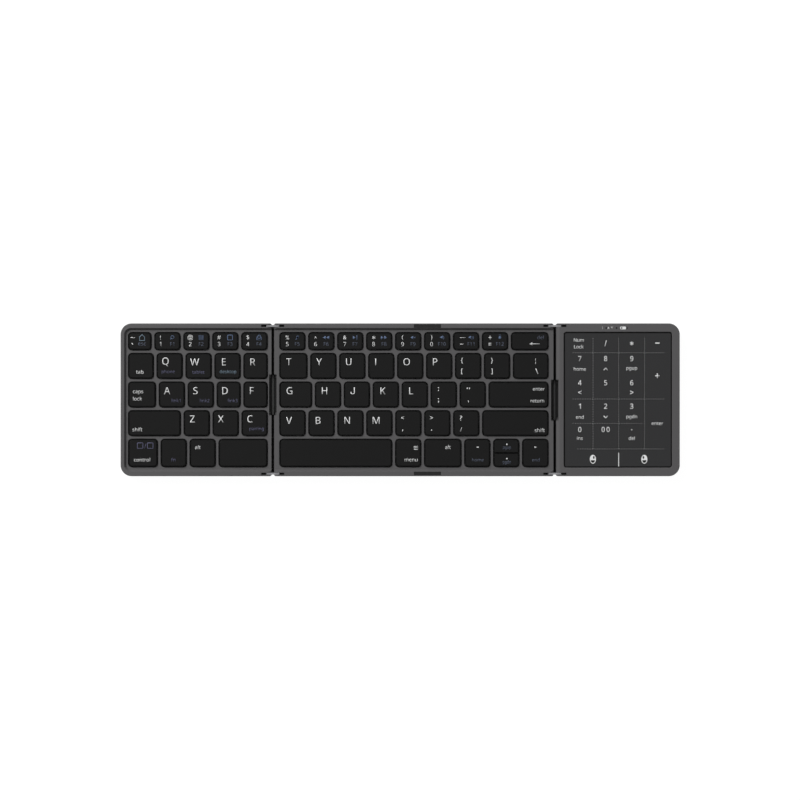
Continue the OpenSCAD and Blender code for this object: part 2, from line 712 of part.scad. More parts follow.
// Flat frame with a window for the touch surface and a ledge under it
module right_top_frame() {
    window = [pad_x0 - pad_gap, pad_x0 + pad_w + pad_gap, -pad_d / 2 - pad_gap, pad_d / 2 + pad_gap];
    color(shell_grey) difference() {
        frame_shell(RIGHT, RIGHT_SCREWS);
        for (f = folds(RIGHT)) at_fold(f[0], f[1]) fold_cuts(f[2], rim_z + cut);
        translate([0, 0, pad_z - pad_t]) linear_extrude(pad_t + cut)
            soft_rect(window, pad_r + pad_gap, pad_r + pad_gap);
        flared_edge(window, pad_r + pad_gap, window_bevel, rim_z);
        translate([0, 0, deck_under - cut]) linear_extrude(rim_z)
            soft_rect(inner(window, ledge), 1, 1);
        pilot_holes(RIGHT_SCREWS);
        for (x = LIGHTS) translate([x, light_y, deck_under - cut])
            cylinder(r = light_r + 0.02, h = rim_z);
        translate([socket_x - socket_w / 2 - 0.15, edge_y - socket_len - 0.5, socket_z() - 0.15])
            cube([socket_w + 0.3, socket_len + 1, socket_h + 0.3]);
    }
}

function board_z() = pad_z - pad_t - board_t;
function socket_z() = board_z() - socket_h;

module touch_surface()
    color(pad_black) translate([0, 0, pad_z - pad_t]) linear_extrude(pad_t)
        soft_rect([pad_x0, pad_x0 + pad_w, -pad_d / 2, pad_d / 2], pad_r, pad_r);

// Board under the touch surface, with its main chips, a cable connector and a socket tail
module main_board() {
    pad = [pad_x0, pad_x0 + pad_w, -pad_d / 2, pad_d / 2];
    b = inner(pad, ledge + 0.2);
    color([0.1, 0.3, 0.2]) translate([0, 0, board_z()]) linear_extrude(board_t)
        soft_rect(b, 0.8, 0.8);
    color([0.1, 0.1, 0.1]) {
        translate([b[0] + 30, 22, board_z() - 1]) cube([8, 8, 1]);
        translate([b[0] + 48, 20, board_z() - 0.9]) cube([6, 5, 0.9]);
        translate([b[0] + 18, 26, board_z() - 1.2]) cube([4, 4, 1.2]);
    }
    color([0.8, 0.8, 0.75])
        translate([b[0] + 0.4, right_cable_y - cable_w / 2 - 1, board_z() - 1.4])
            cube([3.5, cable_w + 2, 1.4]);
}

// Pouch cell with a folded seam along one end
module battery() color([0.75, 0.76, 0.78]) {
    translate(battery_corner) cube(battery_size);
    translate([battery_corner[0] + 1, battery_corner[1] + battery_size[1], battery_corner[2] + 0.8])
        cube([battery_size[0] - 2, 3, 0.9]);
}

// Metal shell of the charging socket, open at the rear edge, with its tongue
module charging_socket() {
    module mouth(grow) {
        h = socket_h / 2 - grow;
        w = socket_w / 2 - grow;
        square([2 * (w - h), 2 * h], center = true);
        for (s = [-1, 1]) translate([s * (w - h), 0]) circle(r = h);
    }
    color(steel_grey) translate([socket_x, edge_y - 0.3, socket_z() + socket_h / 2])
        rotate([90, 0, 0]) {
            difference() {
                linear_extrude(socket_len) mouth(0);
                translate([0, 0, -cut]) linear_extrude(socket_len) mouth(0.3);
            }
            translate([-3.3, -0.35, 1]) cube([6.6, 0.7, socket_len - 1.5]);
        }
}

// Light pipes: a thin post flush in the frame, with a flange below it
module status_lights()
    color([0.05, 0.05, 0.05]) for (x = LIGHTS) translate([x, light_y, deck_under - 0.6]) {
        cylinder(r = 0.8, h = 0.6);
        cylinder(r = light_r, h = rim_z - 0.1 - deck_under + 0.6);
    }

module right_magnets() magnets(right_x1 - magnet_end - magnet_len);
module right_feet() feet(RIGHT_FEET);
module right_screws() screws(RIGHT_SCREWS);

module left_hinge_links() link_plate(left_fold_x);
module left_hinge_pins() hinge_pins(left_fold_x);
module left_cable_cover() cable_cover(left_fold_x, left_cable_y);
module left_flat_cable() flat_cable(left_fold_x, left_cable_y);
module right_hinge_links() link_plate(right_fold_x);
module right_hinge_pins() hinge_pins(right_fold_x);
module right_cable_cover() cable_cover(right_fold_x, right_cable_y);
module right_flat_cable() flat_cable(right_fold_x, right_cable_y);

module left_digit_keys() keys(left_row(0));
module left_upper_keys() keys(pick(left_row(1), 1, 4));
module left_home_keys() keys(pick(left_row(2), 1, 4));
module left_lower_keys() keys(pick(left_row(3), 1, 3));
module tab_key() keys([left_cell(1, 0)]);
module caps_lock_key() keys([left_cell(2, 0)]);
module left_shift_key() keys([left_cell(3, 0)]);
module control_key() keys([left_cell(4, 0)]);
module function_key() keys([left_cell(4, 1)]);
module left_alt_key() keys([left_cell(4, 2)]);
module left_space_key() keys([left_cell(4, 3)]);

module center_digit_keys() keys(pick(center_row(0), 0, 7));
module center_upper_keys() keys(pick(center_row(1), 0, 7));
module center_home_keys() keys(pick(center_row(2), 0, 6));
module center_lower_keys() keys(pick(center_row(3), 0, 6));
module backspace_key() keys([center_cell(0, 8)]);
module backslash_key() keys([center_cell(1, 8)]);
module enter_key() keys([center_cell(2, 7)]);
module right_shift_key() keys([center_cell(3, 7)]);
module space_bar_key() keys([center_cell(4, 0)]);
module menu_key() keys([center_cell(4, 1)]);
module right_alt_key() keys([center_cell(4, 2)]);
module arrow_left_key() keys([center_cell(4, 3)]);
module arrow_up_key() half_key(1);
module arrow_down_key() half_key(-1);
module arrow_right_key() keys([center_cell(4, 5)]);

center_base_cover();
center_top_frame();
center_support_plate();
center_membrane();
center_scissors();
center_rim_inlays();
center_feet();
center_screws();
left_base_cover();
left_top_frame();
left_support_plate();
left_membrane();
left_scissors();
left_magnets();
left_feet();
left_screws();
right_base_cover();
right_top_frame();
touch_surface();
main_board();
battery();
charging_socket();
status_lights();
right_magnets();
right_feet();
right_screws();
left_hinge_links();
left_hinge_pins();
left_cable_cover();
left_flat_cable();
right_hinge_links();
right_hinge_pins();
right_cable_cover();
right_flat_cable();
left_digit_keys();
left_upper_keys();
left_home_keys();
left_lower_keys();
tab_key();
caps_lock_key();
left_shift_key();
control_key();
function_key();
left_alt_key();
left_space_key();
center_digit_keys();
center_upper_keys();
center_home_keys();
center_lower_keys();
backspace_key();
backslash_key();
enter_key();
right_shift_key();
space_bar_key();
menu_key();
right_alt_key();
arrow_left_key();
arrow_up_key();
arrow_down_key();
arrow_right_key();
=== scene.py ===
import enum
import logging
from contextlib import contextmanager
from dataclasses import dataclass, field, replace
from typing import Callable, Iterable, Iterator, Union

import bpy
from mathutils import Matrix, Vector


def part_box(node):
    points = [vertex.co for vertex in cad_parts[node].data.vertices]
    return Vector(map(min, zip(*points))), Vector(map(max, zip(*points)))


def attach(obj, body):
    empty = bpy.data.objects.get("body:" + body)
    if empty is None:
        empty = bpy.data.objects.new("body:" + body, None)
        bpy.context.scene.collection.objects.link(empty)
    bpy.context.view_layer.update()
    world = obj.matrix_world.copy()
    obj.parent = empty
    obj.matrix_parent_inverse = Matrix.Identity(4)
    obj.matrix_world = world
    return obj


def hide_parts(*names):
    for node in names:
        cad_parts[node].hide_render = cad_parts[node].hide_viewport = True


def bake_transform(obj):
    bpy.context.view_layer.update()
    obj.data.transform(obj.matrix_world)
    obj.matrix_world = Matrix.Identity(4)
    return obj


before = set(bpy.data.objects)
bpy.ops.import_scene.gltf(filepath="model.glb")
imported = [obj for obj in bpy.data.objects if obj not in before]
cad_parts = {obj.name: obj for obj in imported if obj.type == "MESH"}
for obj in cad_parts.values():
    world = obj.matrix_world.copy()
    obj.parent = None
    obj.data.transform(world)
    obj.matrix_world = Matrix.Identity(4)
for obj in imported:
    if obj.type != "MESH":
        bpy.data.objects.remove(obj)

# Looks of the folding keyboard: finishes for every imported node, the printing on the key caps and
# on the touch surface, the flat cables across the folds, and the studio round them.
# Sizes are in millimetres up to the moment a mesh is placed, and in metres from there on.

log = logging.getLogger("keyboard")
MM = 0.001
FOLDS = {"left": -74.8, "right": 90.8}
SIDES = ("left", "center", "right")
Colour = tuple[float, float, float, float]
Pair = tuple[float, float]
Triple = tuple[float, float, float]


def srgb(red: int, green: int, blue: int) -> Colour:
    """Turns a colour as a screen shows it into the linear colour that a shader takes.

    Args:
        red: Red from 0 to 255.
        green: Green from 0 to 255.
        blue: Blue from 0 to 255.

    Returns:
        The linear red, green and blue, with an alpha of 1.
    """
    def line(value: int) -> float:
        """Linear value of one channel."""
        part = value / 255
        return part / 12.92 if part <= 0.04045 else ((part + 0.055) / 1.055) ** 2.4
    return line(red), line(green), line(blue), 1.0


def scaled(colour: Colour, by: float) -> Colour:
    """The same colour with its channels multiplied, to make it lighter or darker."""
    return colour[0] * by, colour[1] * by, colour[2] * by, 1.0


# Black of the tape on the plates, and painted shade in the shell's fold slits, pad gap and trays.
TAPE_AND_SHADE_BLACK = srgb(16, 16, 16)


# ---------------------------------------------------------------------------- shader tools


class Wire:
    """One value of a shader. Expressions on it add the Math nodes that work them out."""

    def __init__(self, bench: "Bench", socket: bpy.types.NodeSocket) -> None:
        """Wraps an output socket on its bench."""
        self.bench = bench
        self.socket = socket

    def other(self, name: str) -> "Wire":
        """Another output of the node that this value comes from."""
        return Wire(self.bench, self.socket.node.outputs[name])

    def _math(self, operation: str, first: "Value", second: "Value") -> "Wire":
        """Adds one Math node."""
        return self.bench.node("ShaderNodeMath", {"operation": operation}, {0: first, 1: second})

    def __add__(self, value: "Value") -> "Wire":
        """This value plus another."""
        return self._math("ADD", self, value)

    def __radd__(self, value: "Value") -> "Wire":
        """A number plus this value."""
        return self._math("ADD", value, self)

    def __sub__(self, value: "Value") -> "Wire":
        """This value less another."""
        return self._math("SUBTRACT", self, value)

    def __rsub__(self, value: "Value") -> "Wire":
        """A number less this value."""
        return self._math("SUBTRACT", value, self)

    def __mul__(self, value: "Value") -> "Wire":
        """This value times another."""
        return self._math("MULTIPLY", self, value)

    def __rmul__(self, value: "Value") -> "Wire":
        """A number times this value."""
        return self._math("MULTIPLY", value, self)

    def __abs__(self) -> "Wire":
        """This value without its sign."""
        return self._math("ABSOLUTE", self, 0.0)

    def above(self, level: float) -> "Wire":
        """1 where this value is over a level, 0 elsewhere."""
        return self._math("GREATER_THAN", self, level)

    def below(self, level: float) -> "Wire":
        """1 where this value is under a level, 0 elsewhere."""
        return self._math("LESS_THAN", self, level)

    def between(self, low: float, high: float) -> "Wire":
        """1 where this value is over one level and under another, 0 elsewhere."""
        return self.above(low) * self.below(high)

    def near(self, place: float, reach: float) -> "Wire":
        """1 where this value is within a reach of a place, 0 elsewhere."""
        return abs(self - place).below(reach)

    def wave(self, length: float) -> "Wire":
        """How far this value is from the middle of its stretch, in a row of stretches of a length."""
        return abs(self._math("FLOORED_MODULO", self, length) - length / 2)

    def rise(self, low: float, high: float) -> "Wire":
        """Grows smoothly from 0 at one level of this value to 1 at another."""
        return self.bench.node("ShaderNodeMapRange", {"interpolation_type": "SMOOTHSTEP"},
                               {"Value": self, "From Min": low, "From Max": high})


Value = Union[Wire, float, Colour, Triple]


class Bench:
    """Where the nodes of one material or of the world are put together."""

    def __init__(self, owner: Union[bpy.types.Material, bpy.types.World]) -> None:
        """Clears the owner's nodes.

        Args:
            owner: The material or the world to work on.
        """
        owner.use_nodes = True
        self.tree = owner.node_tree
        self.tree.nodes.clear()

    def node(self, kind: str, settings: dict[str, object], inputs: dict[Union[str, int], Value]) -> Wire:
        """Adds any node.

        Args:
            kind: Blender's name for the type of node.
            settings: The node's own settings, set before its sockets.
            inputs: Values by the name or the number of their socket.

        Returns:
            The node's first output that is in use, if it has one.
        """
        made = self.tree.nodes.new(kind)
        for name, setting in settings.items():
            setattr(made, name, setting)
        for key, value in inputs.items():
            if isinstance(value, Wire):
                self.tree.links.new(value.socket, made.inputs[key])
            else:
                made.inputs[key].default_value = value
        return Wire(self, next((socket for socket in made.outputs if socket.enabled), None))

    def shader(self, **values: Value) -> Wire:
        """Adds a Principled shader, with values by socket name and _ for a space."""
        named = {name.replace("_", " "): value for name, value in values.items()}
        return self.node("ShaderNodeBsdfPrincipled", {}, named)

    def finish(self, **values: Value) -> None:
        """Makes the material a Principled shader with these values."""
        self.node("ShaderNodeOutputMaterial", {}, {"Surface": self.shader(**values)})

    def seen(self, real: Wire, shown: Wire) -> Wire:
        """Shows one shader to the eye, in gloss and through glass, and lights with another.

        Args:
            real: The shader that the light meets.
            shown: The shader that is seen.

        Returns:
            The mixed shader.
        """
        rays = self.node("ShaderNodeLightPath", {}, {})
        eye = rays + rays.other("Is Glossy Ray") + rays.other("Is Transmission Ray")
        return self.node("ShaderNodeMixShader", {}, {0: eye, 1: real, 2: shown})

    def place(self) -> Wire:
        """The point on the object, in metres."""
        return self.node("ShaderNodeTexCoord", {}, {}).other("Object")

    def axes(self) -> tuple[Wire, Wire, Wire]:
        """The point's X, Y and Z, in metres."""
        split = self.node("ShaderNodeSeparateXYZ", {}, {0: self.place()})
        return split, split.other("Y"), split.other("Z")

    def stretched(self, x: float, y: float, z: float) -> Wire:
        """The point with each axis multiplied, for a pattern that is drawn out."""
        return self.node("ShaderNodeMapping", {}, {"Vector": self.place(), "Scale": (x, y, z)})

    def noise(self, scale: float, detail: float = 2.0, where: Union[Wire, None] = None) -> Wire:
        """Soft random pattern from 0 to 1, by its features to the metre and its finer layers."""
        return self.node("ShaderNodeTexNoise", {},
                         {"Vector": where or self.place(), "Scale": scale, "Detail": detail})

    def mix(self, mask: Value, low: Value, high: Value) -> Wire:
        """Mixes two colours: the first where the mask is 0, the second where it is 1."""
        return self.node("ShaderNodeMix", {"data_type": "RGBA"}, {0: mask, 6: low, 7: high})

    def shades(self, mask: Value, colour: Colour, low: float, high: float) -> Wire:
        """Mixes two shades of one colour, each given as what the colour is multiplied by."""
        return self.mix(mask, scaled(colour, low), scaled(colour, high))

    def bump(self, height: Wire, depth: float, strength: float) -> Wire:
        """Normal of a surface raised by a pattern, whose depth is in metres."""
        return self.node("ShaderNodeBump", {},
                         {"Height": height, "Distance": depth, "Strength": strength})


# ---------------------------------------------------------------------------- finishes


@dataclass(frozen=True)
class Finish:
    """What every finish has: a name, and nodes that are put together once."""

    name: str

    def material(self) -> bpy.types.Material:
        """The finish as a material, made the first time it is asked for."""
        made = bpy.data.materials.get(self.name)
        if not made:
            made = bpy.data.materials.new(self.name)
            self.paint(Bench(made))
        return made

    def paint(self, bench: Bench) -> None:
        """Puts the finish's nodes together on a bench."""
        raise NotImplementedError


@dataclass(frozen=True)
class Grained(Finish):
    """A plain material with a fine grain, and wider patches if it has any. The defaults are ink's.

    Patches are given by their features to the metre, their finer layers, and how much they and the
    grain count in the colour.
    """

    colour: Colour
    tones: Pair = (0.9, 1.0)
    grain: float = 2400
    depth: float = 0.00001
    strength: float = 0.2
    rough: Pair = (0.5, 0.1)
    gloss: float = 0.2
    coat: float = 0.0
    patches: Union[tuple[float, float, float, float], None] = None

    def paint(self, bench: Bench) -> None:
        """The grain stands proud; patches, or else the grain, make it duller here and there."""
        grain = bench.noise(self.grain)
        wide, tint = grain, grain
        if self.patches:
            scale, detail, much, rest = self.patches
            wide = bench.noise(scale, detail)
            tint = much * wide + rest * grain
        bench.finish(
            Base_Color=bench.shades(tint, self.colour, *self.tones),
            Roughness=self.rough[0] + self.rough[1] * wide,
            Specular_IOR_Level=self.gloss,
            Coat_Weight=self.coat,
            Normal=bench.bump(grain, self.depth, self.strength),
        )


@dataclass(frozen=True)
class MouldedShell(Finish):
    """Grey plastic out of a spark-eroded mould, polished a little where hands hold it."""

    colour: Colour = srgb(86, 85, 86)
    half_size: Pair = (0.1641, 0.04485)
    edge: float = 0.0011
    edge_z: Pair = (0.0068, 0.0081)
    # Painted shade: the ledge under the touch surface, seen in the pad gap, and the stops in the fold slits
    # are painted black.
    window: Triple = (0.1278, 0.0318, 0.0398)
    window_z: Pair = (0.00556, 0.00706)
    stop: float = 0.00079
    # Painted shade: the trays are painted dark inside.
    shaded_tray: Pair = (0.1602, 0.0415)
    tray_z: Pair = (0.0017, 0.00245)
    # Painted shade: the inner slopes of the rear and left rims are painted darker.
    slope_x: Pair = (-0.1629, 0.0908)
    slope_y: Pair = (-0.0395, 0.0436)
    slope_z: Pair = (0.00682, 0.00818)

    def paint(self, bench: Bench) -> None:
        """Fine even grain, faint clouds, and edges rubbed smoother and paler.

        The stops in the folds and the ledge under the touch surface are painted black, as painted shade
        in the fold slits and the pad gap; the trays are painted dark inside, as painted shade; and the
        inner slopes of the rear and left rims are darkened, as painted shade from the rear-left lamp.
        """
        x, y, z = bench.axes()
        grain = bench.noise(5200, 3)
        clouds = bench.noise(28, 3)
        edges = sum(abs(axis).rise(half - self.edge, half) for axis, half in zip((x, y), self.half_size))
        wear = bench.noise(420, 3).rise(0.35, 0.65) * edges * z.rise(*self.edge_z)
        # Painted shade: black where only deep shade falls, on the ledge under the touch surface and on the
        # stops in the fold slits.
        middle, half_x, half_y = self.window
        tape = x.near(middle, half_x) * y.near(0, half_y) * z.between(*self.window_z)
        for fold in FOLDS.values():
            tape = tape + x.near(fold * MM, self.stop)
        # Painted shade: dark inside the trays.
        shaded_tray = x.near(0, self.shaded_tray[0]) * y.near(0, self.shaded_tray[1]) * z.between(*self.tray_z)
        # Painted shade: darker inner slopes of the rear and left rims, which face away from the key lamp.
        shaded_slope = x.between(*self.slope_x) * y.between(*self.slope_y) * z.between(*self.slope_z)
        body = bench.shades(0.5 * clouds + 0.3 * grain + 0.1, self.colour, 0.93, 1.07)
        outside = bench.mix(wear * 0.5, body, scaled(self.colour, 1.3))
        with_painted_shade = bench.mix(shaded_slope, outside, scaled(self.colour, 0.62))
        bench.finish(
            Base_Color=bench.mix(tape + shaded_tray * (1 - tape), with_painted_shade, TAPE_AND_SHADE_BLACK),
            Roughness=0.56 + 0.08 * clouds - 0.14 * wear + 0.2 * tape,
            Specular_IOR_Level=0.22,
            Normal=bench.bump(grain, 0.00003, 0.35),
        )


@dataclass(frozen=True)
class Metal(Finish):
    """Sheet or turned metal with lines from rolling, brushing or plating."""

    colour: Colour
    rough: float
    lines: Triple
    scratch: float = 0.5

    def paint(self, bench: Bench) -> None:
        """Drawn-out lines in colour, roughness and height, with a few scratches and dull spots."""
        drawn = bench.noise(420, 4, bench.stretched(*self.lines))
        spots = bench.noise(260, 3)
        fine = bench.noise(1900, 3, bench.stretched(3.0, 1.0, 1.0)).rise(0.6, 0.68) * self.scratch
        steel = bench.shades(drawn, self.colour, 0.86, 1.0)
        tape = self.tape(bench)
        bench.finish(
            Base_Color=bench.mix(tape, steel, TAPE_AND_SHADE_BLACK) if tape else steel,
            Metallic=1 - tape if tape else 1.0,
            Roughness=self.rough + 0.16 * drawn + 0.1 * spots - 0.05 * fine,
            Normal=bench.bump(drawn + 0.4 * fine, 0.00002, 0.5),
        )

    def tape(self, bench: Bench) -> Union[Wire, None]:
        """Where black tape lies on the metal, or None for bare metal."""
        return None


@dataclass(frozen=True)
class PlateSteel(Metal):
    """Rolled plate with black tape where the flat cables come in from the folds."""

    reach: float = 0.0084
    plate_z: float = 0.00295

    def tape(self, bench: Bench) -> Union[Wire, None]:
        """A band of tape on the plate beside each fold."""
        x, _, z = bench.axes()
        return sum(x.near(fold * MM, self.reach) for fold in FOLDS.values()) * z.below(self.plate_z)


@dataclass(frozen=True)
class Rubber(Finish):
    """Dull black rubber that has picked up a little dust."""

    def paint(self, bench: Bench) -> None:
        """Pitted surface with a bloom of dust."""
        pits = bench.noise(3200, 3)
        dust = bench.noise(600, 4).rise(0.5, 0.75)
        bench.finish(
            Base_Color=bench.mix(dust * 0.3, srgb(33, 33, 33), srgb(66, 64, 62)),
            Roughness=0.78 + 0.12 * dust,
            Specular_IOR_Level=0.2,
            Normal=bench.bump(pits, 0.00004, 0.5),
        )


@dataclass(frozen=True)
class ContactFilm(Finish):
    """Black contact film with printed silver tracks, and the black domes that stand on it."""

    sheet_top: float = 0.00322
    track_pitch: float = 0.0042
    track: float = 0.00022
    sway: float = 0.004

    def paint(self, bench: Bench) -> None:
        """Tracks on the film only: the domes above it stay plain rubber."""
        _, y, z = bench.axes()
        track = (y + bench.noise(60, 1) * self.sway).wave(self.track_pitch).below(self.track)
        pits = bench.noise(2600, 2)
        black = bench.mix(pits, srgb(24, 24, 25), srgb(30, 30, 31))
        bench.finish(
            Base_Color=bench.mix(track * z.below(self.sheet_top), black, srgb(88, 88, 90)),
            Roughness=0.42 + 0.3 * z.above(self.sheet_top) + 0.1 * pits,
            Specular_IOR_Level=0.3,
            Normal=bench.bump(pits, 0.00002, 0.4),
        )


@dataclass(frozen=True)
class LeverPlastic(Finish):
    """Natural off-white plastic of the scissor levers and the wire clips."""

    def paint(self, bench: Bench) -> None:
        """Slightly waxy, with flow marks."""
        flow = bench.noise(300, 3, bench.stretched(1.0, 3.0, 1.0))
        bench.finish(
            Base_Color=bench.shades(flow, srgb(205, 203, 194), 0.9, 1.0),
            Roughness=0.38 + 0.15 * flow,
            Normal=bench.bump(flow, 0.00002, 0.3),
        )


@dataclass(frozen=True)
class CircuitBoard(Finish):
    """Board in green mask with tracks, black chips under it and a pale connector at its left end."""

    connector_x: float = 0.1035
    underside: float = 0.00632

    def paint(self, bench: Bench) -> None:
        """Tells mask, chips and connector apart by their place."""
        x, _, z = bench.axes()
        tracks = bench.node("ShaderNodeTexVoronoi", {"feature": "DISTANCE_TO_EDGE"},
                            {"Vector": bench.place(), "Scale": 330.0}).below(0.06)
        mask = bench.mix(tracks, srgb(20, 74, 48), srgb(34, 98, 62))
        below = z.below(self.underside)
        speck = bench.noise(1800, 2)
        chip = bench.mix(speck, srgb(26, 26, 27), srgb(36, 36, 37))
        connector = below * x.below(self.connector_x)
        bench.finish(
            Base_Color=bench.mix(connector, bench.mix(below, mask, chip), srgb(214, 205, 184)),
            Roughness=0.3 + 0.35 * below + 0.08 * speck,
            Normal=bench.bump(tracks, 0.00003, 0.5),
        )


@dataclass(frozen=True)
class FoilPouch(Finish):
    """Cell in aluminium laminate with a strip of amber tape over its sealed end."""

    tape_from: float = 0.0105

    def paint(self, bench: Bench) -> None:
        """Dull foil with soft creases; the tape is smooth."""
        creases = bench.noise(120, 5, bench.stretched(1.0, 2.5, 1.0))
        tape = bench.axes()[1].above(self.tape_from)
        foil = bench.mix(creases, srgb(168, 169, 172), srgb(190, 191, 194))
        bench.finish(
            Base_Color=bench.mix(tape, foil, srgb(178, 116, 30)),
            Metallic=0.85 - 0.85 * tape,
            Roughness=0.42 - 0.16 * tape + 0.1 * creases,
            Normal=bench.bump(creases, 0.00035, 0.5),
        )


@dataclass(frozen=True)
class PlatedSocket(Finish):
    """Charging socket: a plated shell round a dark tongue."""

    middle: Pair = (0.1401, 0.00475)
    half_mouth: Pair = (0.0035, 0.0006)

    def paint(self, bench: Bench) -> None:
        """Dark inside the shell, bright outside."""
        x, _, z = bench.axes()
        inside = x.near(self.middle[0], self.half_mouth[0]) * z.near(self.middle[1], self.half_mouth[1])
        drawn = bench.noise(500, 3, bench.stretched(1.0, 14.0, 1.0))
        plating = bench.mix(drawn, srgb(176, 176, 178), srgb(204, 204, 206))
        bench.finish(
            Base_Color=bench.mix(inside, plating, srgb(24, 24, 25)),
            Metallic=1.0 - inside,
            Roughness=0.28 + 0.14 * drawn + 0.2 * inside,
            Normal=bench.bump(drawn, 0.00001, 0.4),
        )


@dataclass(frozen=True)
class FoldCover(Finish):
    """Black strip over the cable, ribbed across so that it grips."""

    rib_pitch: float = 0.0008

    def paint(self, bench: Bench) -> None:
        """Faint ribs along its length."""
        rib = bench.axes()[1].wave(self.rib_pitch).rise(0.00008, 0.0003)
        grain = bench.noise(3000, 2)
        bench.finish(
            Base_Color=bench.shades(grain, srgb(74, 74, 74), 0.9, 1.1),
            Roughness=0.55 + 0.12 * grain,
            Specular_IOR_Level=0.25,
            Normal=bench.bump(rib * 0.4 + grain * 0.3, 0.00006, 0.5),
        )


@dataclass(frozen=True)
class CableFilm(Finish):
    """Black film of a flat cable over its row of conductors."""

    pitch: float = 0.001

    def paint(self, bench: Bench) -> None:
        """Conductors show as faint lines that stand a little proud."""
        line = 1 - bench.axes()[1].wave(self.pitch).rise(0.0002, 0.0003)
        speck = bench.noise(1200, 2)
        film = bench.mix(speck, srgb(14, 14, 14), srgb(20, 20, 20))
        bench.finish(
            Base_Color=bench.mix(line, film, srgb(26, 26, 26)),
            Roughness=0.5 + 0.1 * speck,
            Specular_IOR_Level=0.15,
            Normal=bench.bump(line, 0.00004, 0.6),
        )


class Print(enum.Enum):
    """The inks on the keyboard."""

    WHITE = Grained("white ink", srgb(244, 245, 245))
    BLACK = Grained("black ink", srgb(26, 26, 26))
    BLUE = Grained("blue ink", srgb(100, 116, 146))
    CYAN = Grained("pale blue ink", srgb(116, 134, 148))
    VIOLET = Grained("violet ink", srgb(94, 94, 119))
    DIM = Grained("dim blue ink", srgb(92, 98, 114))
    GREY = Grained("grey ink", srgb(168, 168, 168))


# ---------------------------------------------------------------------------- shop tools


class Shop:
    """Blender's tools as used by hand: what is picked, put on, joined and applied."""

    @staticmethod
    def pick(things: Iterable[bpy.types.Object]) -> None:
        """Selects just these objects and makes the first of them active.

        Args:
            things: The objects.
        """
        bpy.ops.object.select_all(action="DESELECT")
        for number, thing in enumerate(things):
            thing.select_set(True)
            if number == 0:
                bpy.context.view_layer.objects.active = thing

    @staticmethod
    def add(tool: Callable[..., set[str]], **settings: object) -> bpy.types.Object:
        """Adds an object with one of Blender's tools, with nothing selected before.

        Args:
            tool: The tool that adds it.
            settings: The tool's settings; the object stands at the origin unless they say otherwise.

        Returns:
            The object.
        """
        bpy.ops.object.select_all(action="DESELECT")
        tool(**{"location": (0, 0, 0), **settings})
        return bpy.context.active_object

    @staticmethod
    @contextmanager
    def editing() -> Iterator[None]:
        """Edit mode, with the whole mesh of the active object selected."""
        bpy.ops.object.mode_set(mode="EDIT")
        bpy.ops.mesh.select_all(action="SELECT")
        yield
        bpy.ops.object.mode_set(mode="OBJECT")

    @staticmethod
    def move(thing: bpy.types.Object, x: float, y: float, z: float) -> None:
        """Moves a piece's mesh, in millimetres, and leaves its object at the origin."""
        thing.data.transform(Matrix.Translation((x * MM, y * MM, z * MM)))

    @staticmethod
    def apply(thing: bpy.types.Object, kind: str, **settings: object) -> None:
        """Puts a modifier on a piece and applies it.

        Args:
            thing: The piece.
            kind: Blender's name for the modifier.
            settings: The modifier's settings.
        """
        Shop.pick([thing])
        bpy.ops.object.modifier_add(type=kind)
        modifier = thing.modifiers[-1]
        for name, setting in settings.items():
            setattr(modifier, name, setting)
        bpy.ops.object.modifier_apply(modifier=modifier.name)

    @staticmethod
    def join(parts: list[bpy.types.Object], name: str) -> bpy.types.Object:
        """Joins parts into one piece.

        Args:
            parts: The parts.
            name: The piece's name.

        Returns:
            The piece.
        """
        Shop.pick(parts)
        if len(parts) > 1:
            bpy.ops.object.join()
        piece = bpy.context.view_layer.objects.active
        piece.name = name
        piece.data.name = name
        return piece

    @staticmethod
    def dress(node: str, finish: Finish) -> None:
        """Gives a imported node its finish.

        Args:
            node: The node's name.
            finish: The finish.
        """
        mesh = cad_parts[node].data
        mesh.materials.clear()
        mesh.materials.append(finish.material())
        log.info("%s dressed in %s", node, finish.name)


# ---------------------------------------------------------------------------- printing


@dataclass(frozen=True)
class Mark:
    """One printed sign on a key cap or on the touch surface.

    On a cap, x counts from the left edge, or back from the right edge if it is negative, and y
    from the front edge, or back from the rear edge if it is negative. The sign's middle goes there.
    """

    text: str
    x: float
    y: float
    tall: float = 2.1
    ink: Print = Print.WHITE
    weight: float = -0.008
    squeeze: float = 1.0


# Plain upright letters and figures: the built-in ones lean to a pen's shapes. I and J read best
# as they are.
UPRIGHT = {ord(first) + n: plain + n
           for first, plain, count in (("A", 0x1D5A0, 26), ("a", 0x1D5BA, 26), ("0", 0x1D7E2, 10))
           for n in range(count)}
UPRIGHT.update({ord("I"): ord("I"), ord("J"): 0x0408})


